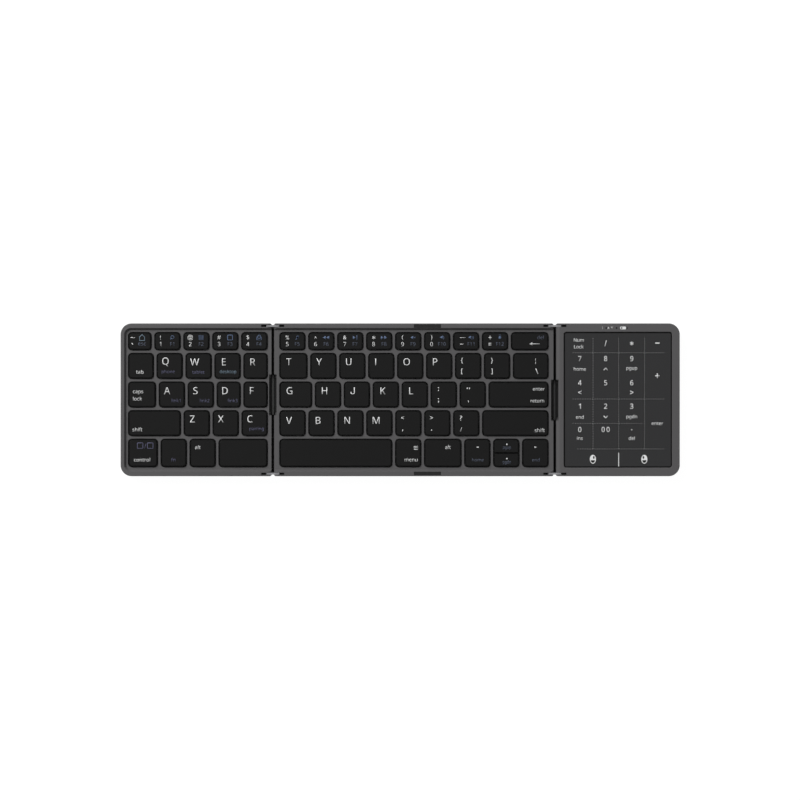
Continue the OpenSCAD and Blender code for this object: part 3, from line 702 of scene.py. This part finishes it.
@dataclass
class PrintShop:
    """Cuts marks out of the plain built-in letters and lays them down as thin films of ink."""

    film: float = 0.02
    sunk: float = 0.004
    weld: float = 0.001
    capital: float = 0.714
    steps: int = 3

    def cut(self, marks: list[Mark]) -> list[bpy.types.Object]:
        """Makes one flat mesh to a mark, in its place.

        Args:
            marks: The marks, whose places are counted from the origin here.

        Returns:
            The meshes, in the order of the marks.
        """
        signs = []
        for mark in marks:
            sign = Shop.add(bpy.ops.object.text_add)
            sign.data.body = mark.text.translate(UPRIGHT)
            sign.data.size = mark.tall / self.capital * MM
            sign.data.offset = mark.weight * MM
            sign.data.resolution_u = self.steps
            sign.data.fill_mode = "FRONT"
            sign.data.materials.append(mark.ink.value.material())
            signs.append(sign)
        Shop.pick(signs)
        bpy.ops.object.convert(target="MESH")
        for sign, mark in zip(signs, marks):
            sign.data.transform(Matrix.Diagonal((mark.squeeze, 1, 1, 1)))
            xs = [vertex.co.x for vertex in sign.data.vertices]
            ys = [vertex.co.y for vertex in sign.data.vertices]
            middle = Matrix.Translation((-(min(xs) + max(xs)) / 2, -(min(ys) + max(ys)) / 2, 0))
            sign.data.transform(middle)
            Shop.move(sign, mark.x, mark.y, 0)
        return signs

    def lay(self, parts: list[bpy.types.Object], name: str, z: float, slot: str, carrier: str) -> None:
        """Joins placed flat parts and prints them on a surface as one piece.

        Args:
            parts: Flat parts at height 0, with their ink.
            name: The piece's name.
            z: The surface's height, in millimetres.
            slot: The record's material slot; not used.
            carrier: The node or the body that the piece rides on.
        """
        count = len(parts)
        piece = Shop.join(parts, name)
        Shop.move(piece, 0, 0, z - self.sunk)
        Shop.apply(piece, "WELD", merge_threshold=self.weld * MM)
        Shop.apply(piece, "SOLIDIFY", thickness=(self.film + self.sunk) * MM, offset=1.0)
        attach(piece, carrier)
        log.info("%s: %d parts", name, count)


def letter(text: str, x: float, y: float, *more: Mark) -> list[Mark]:
    """Marks of a letter key: the letter, and any further marks on the cap."""
    return [Mark(text, x, y, 4.1, weight=-0.015), *more]


def second(sign: str, name: str, tall: float = 1.6) -> list[Mark]:
    """Blue marks on the right of a digit key: the second function's sign, and its name."""
    return [Mark(sign, 9.8, -2.5, tall, Print.BLUE), Mark(name, 9.85, -6.3, 2.1, Print.DIM)]


def digit(upper: str, lower: str, sign: str, name: str, x: float = 3.7, tall: float = 1.6) -> list[Mark]:
    """Marks of a digit key: with shift and without on the left, the second function on the right."""
    return [Mark(upper, x, -2.5, 2.4), Mark(lower, x, -6.35, 2.4), *second(sign, name, tall)]


def pair(upper: str, lower: str, x: float, rear: float, front: float, weight: float = 0.0,
         tall: float = 2.6) -> list[Mark]:
    """Marks of a punctuation key: with shift near the rear edge, without near the front edge."""
    return [Mark(upper, x, rear, tall, weight=weight), Mark(lower, x, front, tall, weight=weight)]


LEGENDS: dict[str, list[list[Mark]]] = {
    "left_digit_keys": [
        [Mark("~", 2.1, -2.6, 3.4), Mark("`", 1.9, -6.3, 4.4, weight=0.04),
         Mark("⌂", 7.6, -2.5, 3.9, Print.CYAN), Mark("esc", 7.6, -6.3, 2.3, Print.DIM)],
        digit("!", "1", "⌕", "F1", 2.95, 3.2), digit("@", "2", "▤", "F2", 3.45, 2.6),
        digit("#", "3", "▢", "F3", 3.35, 3.2), digit("$", "4", "⎙", "F4", 3.25, 2.3),
    ],
    "left_upper_keys": [
        letter("Q", 4.6, -4.55, Mark("phone", 6.2, 3.5, 1.9, Print.VIOLET)),
        letter("W", 4.75, -4.55, Mark("tablet", 6.9, 3.5, 1.9, Print.VIOLET)),
        letter("E", 4.9, -4.55, Mark("desktop", 7.3, 3.5, 1.9, Print.CYAN)),
        letter("R", 4.85, -4.55),
    ],
    "left_home_keys": [
        letter("A", 4.25, -4.65, Mark("link1", 9.5, 3.55, 1.9, Print.VIOLET)),
        letter("S", 3.9, -4.65, Mark("link2", 9.3, 3.55, 1.9, Print.VIOLET)),
        letter("D", 4.25, -4.65, Mark("link3", 8.8, 3.55, 1.9, Print.VIOLET)),
        letter("F", 4.3, -4.65),
    ],
    "left_lower_keys": [
        letter("Z", 4.5, -4.4), letter("X", 4.2, -4.4),
        letter("C", 4.3, -4.4, Mark("pairing", 8.2, 3.6, 1.9, Print.VIOLET)),
    ],
    "tab_key": [[Mark("tab", 6.3, 3.6)]],
    "caps_lock_key": [[Mark("caps", 5.3, -5.7), Mark("lock", 4.95, -9.3)]],
    "left_shift_key": [[Mark("shift", 4.9, 3.4)]],
    "control_key": [[
        Mark("▢", 6.5, -3.3, 3.6, Print.VIOLET), Mark("/", 9.5, -3.5, 3.0, Print.VIOLET),
        Mark("▢", 12.4, -3.3, 3.6, Print.VIOLET), Mark("control", 7.6, 3.85),
    ]],
    "function_key": [[Mark("fn", 6.8, 3.85, 2.1, Print.VIOLET)]],
    "left_alt_key": [[Mark("alt", 4.2, -4.2)]],
    "center_digit_keys": [
        digit("%", "5", "♫", "F5", 4.0, 2.4), digit("^", "6", "◀◀", "F6", 3.65),
        digit("&", "7", "▶‖", "F7", 3.8),
        [Mark("*", 3.8, -2.5, 3.2, weight=0.02), Mark("8", 3.7, -6.35, 2.4), *second("▶▶", "F8")],
        digit("(", "9", "◀×", "F9"), digit(")", "0", "◀)", "F10"),
        [Mark("—", 5.0, -2.5, 2.4), Mark("–", 4.4, -6.35, 2.4, weight=0.06), *second("◀))", "F11")],
        [Mark("+", 4.05, -2.5, 3.3, squeeze=0.85), Mark("=", 4.0, -6.35, 3.4, squeeze=0.75),
         *second("■", "F12", 1.4), Mark("∩", 9.8, -1.5, 1.5, Print.BLUE)],
    ],
    "center_upper_keys": [
        letter("T", 4.9, -4.5), letter("Y", 4.5, -4.5), letter("U", 4.9, -4.5), letter("I", 3.7, -4.5),
        letter("O", 4.9, -4.5), letter("P", 4.6, -4.5), pair("{", "[", 3.3, -3.8, 3.9),
        pair("}", "]", 3.9, -3.8, 3.9),
    ],
    "center_home_keys": [
        letter("G", 5.3, -4.7), letter("H", 5.0, -4.7), letter("J", 4.5, -4.7), letter("K", 5.3, -4.7),
        letter("L", 4.8, -4.7), pair(":", ";", 3.9, -3.7, 3.55, 0.06, 3.3),
        [Mark('"', 4.4, -3.35, 2.6, squeeze=2.0), Mark("'", 4.4, 3.0, 2.6, weight=0.07)],
    ],
    "center_lower_keys": [
        letter("V", 5.0, -5.3), letter("B", 5.05, -5.3), letter("N", 5.1, -5.3), letter("M", 5.1, -5.3),
        [Mark("<", 3.6, -3.75, 2.6), Mark(",", 3.6, 2.8, 2.6, weight=0.09)],
        [Mark(">", 3.6, -3.75, 2.6), Mark(".", 3.6, 3.0, 2.6, weight=0.12)],
        [Mark("?", 3.95, -3.95, 3.0, weight=-0.02, squeeze=1.6), Mark("/", 3.9, 3.4, 2.6)],
    ],
    "backspace_key": [[
        Mark("—", -7.35, 3.25, 2.4, weight=0.05, squeeze=1.55), Mark("◀", -9.75, 3.25, 1.5),
        Mark("del", -4.2, -2.4, 2.0, Print.DIM),
    ]],
    "backslash_key": [[Mark("¦", -7.1, -4.2, 2.6), Mark("\\", -6.3, 4.0, 3.2, squeeze=1.5)]],
    "enter_key": [[Mark("enter", -5.2, -3.7, 2.0), Mark("return", -6.0, 3.35, 2.0)]],
    "right_shift_key": [[Mark("shift", -4.6, 3.0)]],
    "menu_key": [[Mark("≡", -2.6, -4.6, 3.7), Mark("menu", -5.4, 3.6)]],
    "right_alt_key": [[Mark("alt", -7.4, -4.1)]],
    "arrow_left_key": [[Mark("◀", 7.0, -4.2, 0.75, squeeze=1.9), Mark("home", 7.3, 3.8, 1.9, Print.DIM)]],
    "arrow_up_key": [[
        Mark("▲", 7.3, -2.4, 1.1, squeeze=0.75), Mark("pgup", 7.3, -4.8, 1.9, Print.DIM, squeeze=0.75),
    ]],
    "arrow_down_key": [[
        Mark("▼", 7.3, -3.2, 1.1, squeeze=0.75), Mark("pgdn", 7.3, -5.2, 1.9, Print.DIM, squeeze=0.75),
    ]],
    "arrow_right_key": [[Mark("▶", 7.3, -4.2, 0.75, squeeze=1.9), Mark("end", 7.3, 3.8, 1.9, Print.DIM)]],
}


@dataclass
class KeyPrinting:
    """The signs on the key caps. Each key node's signs ride on that node's body."""

    press: PrintShop = field(default_factory=PrintShop)
    top_z: float = 8.0
    gap: float = 0.3

    def caps(self, node: str) -> list[tuple[float, float, float, float]]:
        """Finds the caps of a key node, from the left, in millimetres.

        Args:
            node: The node's name.

        Returns:
            Left, right, front and rear edge of each cap.
        """
        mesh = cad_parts[node].data
        spans = sorted((min(mesh.vertices[v].co.x for v in face.vertices),
                        max(mesh.vertices[v].co.x for v in face.vertices)) for face in mesh.polygons)
        joined = [list(spans[0])]
        for low, high in spans[1:]:
            if low > joined[-1][1] + self.gap * MM:
                joined.append([low, high])
            joined[-1][1] = max(joined[-1][1], high)
        low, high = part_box(node)
        return [(a / MM, b / MM, low[1] / MM, high[1] / MM) for a, b in joined]

    @staticmethod
    def placed(mark: Mark, left: float, right: float, front: float, rear: float) -> Mark:
        """The mark with its place counted from the origin instead of from its cap's edges."""
        return replace(mark, x=(left if mark.x > 0 else right) + mark.x,
                       y=(front if mark.y > 0 else rear) + mark.y)

    def build(self) -> None:
        """Prints every key that carries a sign."""
        for node, rows in LEGENDS.items():
            caps = self.caps(node)
            if len(caps) != len(rows):
                raise ValueError(f"{node} has {len(caps)} caps and {len(rows)} sets of marks")
            marks = [self.placed(mark, *cap) for cap, row in zip(caps, rows) for mark in row]
            self.press.lay(self.press.cut(marks), node + "_print", self.top_z, "caps", node)


@dataclass
class TouchPrinting:
    """The number pad printed on the touch surface, and the signs by the status lights.

    The pad's places are counted from its middle, the status signs' places from the origin.
    """

    press: PrintShop = field(default_factory=PrintShop)
    middle: float = 127.8
    columns: tuple[float, float, float, float] = (-22.35, -7.2, 8.12, 23.15)
    top_z: float = 7.95
    rim_z: float = 8.2
    dot: float = 0.19
    dot_pitch: float = 1.43
    upright: Triple = (-14.6, 0.43, 15.63)
    upright_span: Pair = (-28.5, 36.5)
    lines: tuple[Triple, ...] = (
        (27.65, -26.3, 26.8), (0.47, -26.3, 27.5), (-13.85, -26.3, 14.4), (-28.82, -23.5, 27.8),
    )
    mice: Pair = (-14.7, 15.5)
    mouse_y: float = -34.87
    body: Pair = (3.6, 5.2)
    button: Pair = (0.95, 1.7)
    button_at: Pair = (0.55, 1.05)
    palm: Pair = (2.4, 2.9)
    palm_at: float = -0.7
    palm_kept: float = 0.55
    divider: Pair = (0.42, 8.0)
    divider_y: float = -35.07
    minus: Pair = (2.6, 0.62)
    minus_y: float = 33.3
    corner: float = 0.35
    status_y: float = 42.15
    cell: Pair = (3.4, 1.65)
    cell_x: float = 130.8
    empty: Pair = (0.65, 1.15)
    empty_x: float = 130.0

    def marks(self) -> list[Mark]:
        """The signs of the number pad."""
        a, b, c, d = (self.middle + column for column in self.columns)
        big = [
            ("/", b, 33.17, 3.4), ("+", d, 14.09, 4.1),
            ("7", a, 24.18, 2.9), ("8", b, 24.18, 2.9), ("9", c, 24.18, 2.9),
            ("4", a, 9.98, 2.9), ("5", b, 9.98, 2.9), ("6", c, 9.98, 2.9),
            ("2", b, -3.76, 2.9), ("3", c, -3.76, 2.9),
            ("0", a, -17.43, 2.9), ("0", b - 1.45, -17.43, 2.9), ("0", b + 1.45, -17.43, 2.9),
            ("<", a, 4.34, 3.1), (">", c, 4.34, 3.1), ("⌃", b, 18.08, 3.3), ("⌄", b, -10.1, 3.3),
        ]
        bold = [("*", c, 33.1, 3.4), ("1", a, -3.76, 2.9), (".", c, -17.6, 2.9)]
        words = [
            ("Num", a - 0.6, 35.04), ("Lock", a - 0.6, 31.17), ("home", a, 18.08), ("pgup", c, 18.08),
            ("end", a, -10.1), ("pgdn", c, -10.1), ("ins", a, -22.54), ("del", c, -22.54),
            ("enter", d, -13.91),
        ]
        return ([Mark(text, x, y, tall, weight=0.03, squeeze=0.93) for text, x, y, tall in big]
                + [Mark(text, x, y, tall, weight=0.08) for text, x, y, tall in bold]
                + [Mark(text, x, y, 1.95, weight=0.005) for text, x, y in words])

    def dots(self) -> list[bpy.types.Object]:
        """Dotted lines between the signs."""
        low, high = self.upright_span
        return ([self.dotted(x, low, high - low, False) for x in self.upright]
                + [self.dotted(start, y, end - start, True) for y, start, end in self.lines])

    def dotted(self, x: float, y: float, length: float, across: bool) -> bpy.types.Object:
        """One dotted line: one dot, repeated.

        Args:
            x: The first dot's place from the pad's middle.
            y: The first dot's place.
            length: The line's length.
            across: True for a line to the right, False for one to the rear.

        Returns:
            The flat dots.
        """
        line = Shop.add(bpy.ops.mesh.primitive_circle_add, vertices=10, radius=self.dot * MM,
                        fill_type="NGON")
        step = self.dot_pitch * MM
        Shop.apply(line, "ARRAY", count=int(length / self.dot_pitch) + 1, use_relative_offset=False,
                   use_constant_offset=True,
                   constant_offset_displace=(step, 0, 0) if across else (0, step, 0))
        return self.place(line, self.middle + x, y, Print.GREY)

    @staticmethod
    def place(part: bpy.types.Object, x: float, y: float, ink: Print) -> bpy.types.Object:
        """Gives a flat part its ink, moves it to its place and hands it back."""
        part.data.materials.append(ink.value.material())
        Shop.move(part, x, y, 0)
        return part

    def oval(self, size: Pair, x: float, y: float, ink: Print, keep: float = 1.0) -> bpy.types.Object:
        """A flat oval.

        Args:
            size: Its size along X and along Y.
            x: Its middle.
            y: Its middle.
            ink: Its ink.
            keep: How much of its length stays, from the front.

        Returns:
            The flat part.
        """
        width, length = size
        made = Shop.add(bpy.ops.mesh.primitive_circle_add, vertices=32, radius=width / 2 * MM,
                        fill_type="NGON")
        with Shop.editing():
            bpy.ops.transform.resize(value=(1, length / width, 1))
            if keep < 1:
                bpy.ops.mesh.bisect(plane_co=(0, length * (keep - 0.5) * MM, 0), plane_no=(0, 1, 0),
                                    clear_outer=True)
        return self.place(made, x, y, ink)

    def mouse(self, x: float, other: int) -> list[bpy.types.Object]:
        """A small picture of a mouse, whose one button is left open.

        Args:
            x: Its middle.
            other: 1 where the right button is the open one, -1 for the left.

        Returns:
            The white body, and the black button and palm that are printed over it.
        """
        y = self.mouse_y
        aside, ahead = self.button_at
        return [self.oval(self.body, x, y, Print.WHITE),
                self.oval(self.button, x + aside * other, y + ahead, Print.BLACK),
                self.oval(self.palm, x, y + self.palm_at, Print.BLACK, self.palm_kept)]

    def bar(self, size: Pair, x: float, y: float, ink: Print) -> bpy.types.Object:
        """A flat bar with round ends, by its size along X and Y, its middle and its ink."""
        made = Shop.add(bpy.ops.mesh.primitive_plane_add, size=1)
        with Shop.editing():
            bpy.ops.transform.resize(value=(size[0] * MM, size[1] * MM, 1))
            bpy.ops.mesh.bevel(offset=min(size) * self.corner * MM, segments=3, affect="VERTICES")
        return self.place(made, x, y, ink)

    def build(self) -> None:
        """Prints the touch surface and the rim behind it."""
        parts = self.press.cut(self.marks()) + self.dots()
        white = [self.bar(self.divider, self.middle + self.upright[1], self.divider_y, Print.WHITE),
                 self.bar(self.minus, self.middle + self.columns[3], self.minus_y, Print.WHITE)]
        black = []
        for x, other in zip(self.mice, (1, -1)):
            body, *places = self.mouse(self.middle + x, other)
            white.append(body)
            black += places
        self.press.lay(white + parts, "touch_surface_print", self.top_z, "pad", "right_wing")
        self.press.lay(black, "touch_surface_overprint", self.top_z + self.press.film, "pad", "right_wing")
        self.status()

    def status(self) -> None:
        """Signs beside the status lights on the rear rim: linked, capitals, charge."""
        y = self.status_y
        signs = self.press.cut([Mark(")", 118.7, 42.2, 1.15, Print.GREY, 0.08),
                                Mark("A", 122.2, y, 1.25, weight=0.06),
                                Mark("▼", 124.35, y, 1.35, Print.GREY)])
        cell = self.bar(self.cell, self.cell_x, y, Print.WHITE)
        empty = self.bar(self.empty, self.empty_x, y, Print.BLACK)
        self.press.lay([cell] + signs, "status_print", self.rim_z, "shell", "right_wing")
        self.press.lay([empty], "status_overprint", self.rim_z + self.press.film, "shell", "right_wing")


# ---------------------------------------------------------------------------- cables


@dataclass
class FlatCable:
    """A flat cable across one fold, in two halves that meet under the cover."""

    side: str
    middle_y: float
    wide: float = 20.0
    thick: float = 0.2
    reach: float = 6.8
    height: float = 3.15
    free: Pair = (2.2, 0.85)
    steps: int = 68

    def half(self, toward: int, name: str) -> bpy.types.Object:
        """One half, from inside a panel to the fold's middle.

        Args:
            toward: 1 for the half on the centre panel's side, -1 for the wing's.
            name: The piece's name.

        Returns:
            The piece.
        """
        strip = Shop.add(bpy.ops.mesh.primitive_grid_add, x_subdivisions=self.steps, y_subdivisions=8,
                         size=1)
        with Shop.editing():
            bpy.ops.transform.resize(value=(self.reach * MM, self.wide * MM, 1))
        fold = FOLDS[self.side]
        away = toward if fold < 0 else -toward
        Shop.move(strip, fold + away * self.reach / 2, self.middle_y, self.height - self.thick / 2)
        Shop.apply(strip, "SOLIDIFY", thickness=self.thick * MM, offset=1.0)
        strip.name = name
        strip.data.name = name
        strip.data.materials.append(CableFilm("black cable film").material())
        start, end = (fold + away * x for x in self.free)
        start * MM
        end * MM
        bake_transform(strip)
        return strip

    def build(self) -> None:
        """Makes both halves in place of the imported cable."""
        for toward, part in ((1, "center"), (-1, "wing")):
            strip = self.half(toward, f"{self.side}_cable_{part}_half")
            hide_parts(f"{self.side}_flat_cable")
            log.info("%s bends at x %.1f mm", strip.name, FOLDS[self.side])


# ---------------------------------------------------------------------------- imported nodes


@dataclass
class Casework:
    """Frames, covers and what is set into them."""

    shell: Finish = MouldedShell("moulded grey plastic")
    rubber: Finish = Rubber("black rubber")
    screw: Finish = Metal("plated screw steel", srgb(140, 140, 142), 0.36, (9.0, 9.0, 1.0))
    magnet: Finish = Metal("nickel plate", srgb(196, 194, 188), 0.2, (3.0, 3.0, 3.0), 0.3)

    def dress(self) -> None:
        """Dresses the casework."""
        for side in SIDES:
            Shop.dress(f"{side}_base_cover", self.shell)
            Shop.dress(f"{side}_top_frame", self.shell)
            Shop.dress(f"{side}_feet", self.rubber)
            Shop.dress(f"{side}_screws", self.screw)
        Shop.dress("center_rim_inlays", self.rubber)
        for side in FOLDS:
            Shop.dress(f"{side}_magnets", self.magnet)


@dataclass
class KeyWorks:
    """Caps and the works under them."""

    cap: Finish = Grained("black cap plastic", srgb(21, 21, 21), (0.85, 1.15), 6400, 0.00002, 0.3,
                          rough=(0.53, 0.06), gloss=0.09, patches=(150, 3, 0.6, 0.3))
    plate: Finish = PlateSteel("rolled plate steel", srgb(178, 179, 182), 0.34, (1.0, 16.0, 16.0))
    film: Finish = ContactFilm("contact film")
    lever: Finish = LeverPlastic("natural lever plastic")

    def dress(self) -> None:
        """Dresses the caps, plates, membranes and scissors."""
        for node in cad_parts:
            if node.endswith(("_key", "_keys")):
                Shop.dress(node, self.cap)
        for side in ("left", "center"):
            Shop.dress(f"{side}_support_plate", self.plate)
            Shop.dress(f"{side}_membrane", self.film)
            Shop.dress(f"{side}_scissors", self.lever)


@dataclass
class HingeHardware:
    """Links, pins and the strips between them."""

    link: Finish = Metal("brushed link steel", srgb(138, 138, 140), 0.3, (1.0, 26.0, 26.0))
    pin: Finish = Metal("turned pin steel", srgb(150, 150, 152), 0.24, (18.0, 1.0, 18.0))
    cover: Finish = FoldCover("ribbed black cover")

    def dress(self) -> None:
        """Dresses both folds."""
        for side in FOLDS:
            Shop.dress(f"{side}_hinge_links", self.link)
            Shop.dress(f"{side}_hinge_pins", self.pin)
            Shop.dress(f"{side}_cable_cover", self.cover)


@dataclass
class Electronics:
    """The touch wing's surface, board, cell, socket and lights."""

    surface: Finish = Grained("etched touch film", srgb(43, 43, 44), (0.94, 1.06), 9000, 0.000012, 0.3,
                              rough=(0.42, 0.08), gloss=0.18, patches=(34, 2, 0.5, 0.4))
    board: Finish = CircuitBoard("green circuit board")
    cell: Finish = FoilPouch("foil pouch")
    socket: Finish = PlatedSocket("plated socket")
    light: Finish = Grained("smoked light pipe", srgb(9, 9, 10), (0.8, 1.3), 1500,
                            rough=(0.22, 0.1), gloss=0.08, coat=0.08)

    def dress(self) -> None:
        """Dresses the touch wing."""
        Shop.dress("touch_surface", self.surface)
        Shop.dress("main_board", self.board)
        Shop.dress("battery", self.cell)
        Shop.dress("charging_socket", self.socket)
        Shop.dress("status_lights", self.light)
        for side in FOLDS:
            Shop.dress(f"{side}_flat_cable", CableFilm("black cable film"))


# ---------------------------------------------------------------------------- studio


@dataclass
class Studio:
    """White floor, white surroundings, one soft lamp from the rear left and a weaker one opposite."""

    floor_size: float = 14.0
    floor_light: float = 0.96
    floor_rough: float = 0.9
    lit_colour: Colour = (0.8, 0.8, 0.8, 1)
    seen_colour: Colour = (0.15, 0.15, 0.15, 1)
    # Reach and levels of the painted shade on the floor's glow, from ambient occlusion.
    shut_in: float = 0.004
    shut_levels: Pair = (0.15, 0.4)
    surroundings: float = 0.2
    camera_height: float = 1.6
    sensor: float = 36
    clip: Pair = (0.01, 60)
    view_width: float = 0.4696
    view_middle: Pair = (-0.00009, -0.00012)
    subject_z: float = 0.0075

    def floor(self) -> None:
        """Floor that shows white and takes the object's shadow; its glow is painted dark where it is shut
        in, as painted shade.
        """
        plane = Shop.add(bpy.ops.mesh.primitive_plane_add, size=self.floor_size)
        plane.name = "floor"
        white = bpy.data.materials.new("white floor")
        bench = Bench(white)
        matt = {"Roughness": self.floor_rough, "Specular_IOR_Level": 0.0}
        real = bench.shader(Base_Color=self.lit_colour, **matt)
        # Painted shade: the floor's glow fades to black where ambient occlusion finds it shut in, as under
        # the object and in the fold slits.
        open_above = bench.node("ShaderNodeAmbientOcclusion", {}, {"Distance": self.shut_in}).other("AO")
        glow_with_painted_shade = bench.mix(open_above.rise(*self.shut_levels), (0, 0, 0, 1), (1, 1, 1, 1))
        shown = bench.shader(Base_Color=self.seen_colour, Emission_Strength=self.floor_light,
                             Emission_Color=glow_with_painted_shade, **matt)
        bench.node("ShaderNodeOutputMaterial", {}, {"Surface": bench.seen(real, shown)})
        plane.data.materials.append(white)

    def world(self) -> None:
        """Surroundings that show white and give an even light."""
        world = bpy.data.worlds.new("white surroundings")
        bench = Bench(world)
        light, shown = (bench.node("ShaderNodeBackground", {}, {"Color": (1, 1, 1, 1), "Strength": strength})
                        for strength in (self.surroundings, 1.0))
        bench.node("ShaderNodeOutputWorld", {}, {"Surface": bench.seen(light, shown)})
        bpy.context.scene.world = world

    def lamp(self, name: str, place: Triple, size: float, power: float) -> None:
        """A square soft lamp that points at the keyboard.

        Args:
            name: The lamp's name.
            place: Where it hangs, in metres.
            size: Length of its side, in metres.
            power: Its power in watts.
        """
        lamp = Shop.add(bpy.ops.object.light_add, type="AREA", location=place)
        lamp.name = name
        lamp.data.size = size
        lamp.data.energy = power
        lamp.rotation_euler = (-lamp.location).to_track_quat("-Z", "Y").to_euler()

    def camera(self) -> None:
        """Camera straight above, with the photograph's framing."""
        camera = Shop.add(bpy.ops.object.camera_add, location=(*self.view_middle, self.camera_height),
                          rotation=(0, 0, 0))
        camera.data.sensor_width = self.sensor
        camera.data.lens = self.sensor * (self.camera_height - self.subject_z) / self.view_width
        camera.data.clip_start, camera.data.clip_end = self.clip
        bpy.context.scene.camera = camera

    def build(self) -> None:
        """Sets the studio up."""
        self.camera()
        self.floor()
        self.world()
        self.lamp("key lamp", (-1.2, 1.3, 1.35), size=1.0, power=50)
        self.lamp("fill lamp", (1.5, -0.9, 1.3), size=1.6, power=5)
        bpy.context.scene.view_settings.view_transform = "Standard"
        log.info("studio is set up")


def main() -> None:
    """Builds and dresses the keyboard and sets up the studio."""
    logging.basicConfig(level=logging.INFO, format="%(message)s")
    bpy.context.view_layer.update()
    Studio().build()
    Casework().dress()
    KeyWorks().dress()
    HingeHardware().dress()
    Electronics().dress()
    KeyPrinting().build()
    TouchPrinting().build()
    FlatCable("left", middle_y=2.9).build()
    FlatCable("right", middle_y=-0.2).build()


if __name__ == "__main__":
    main()
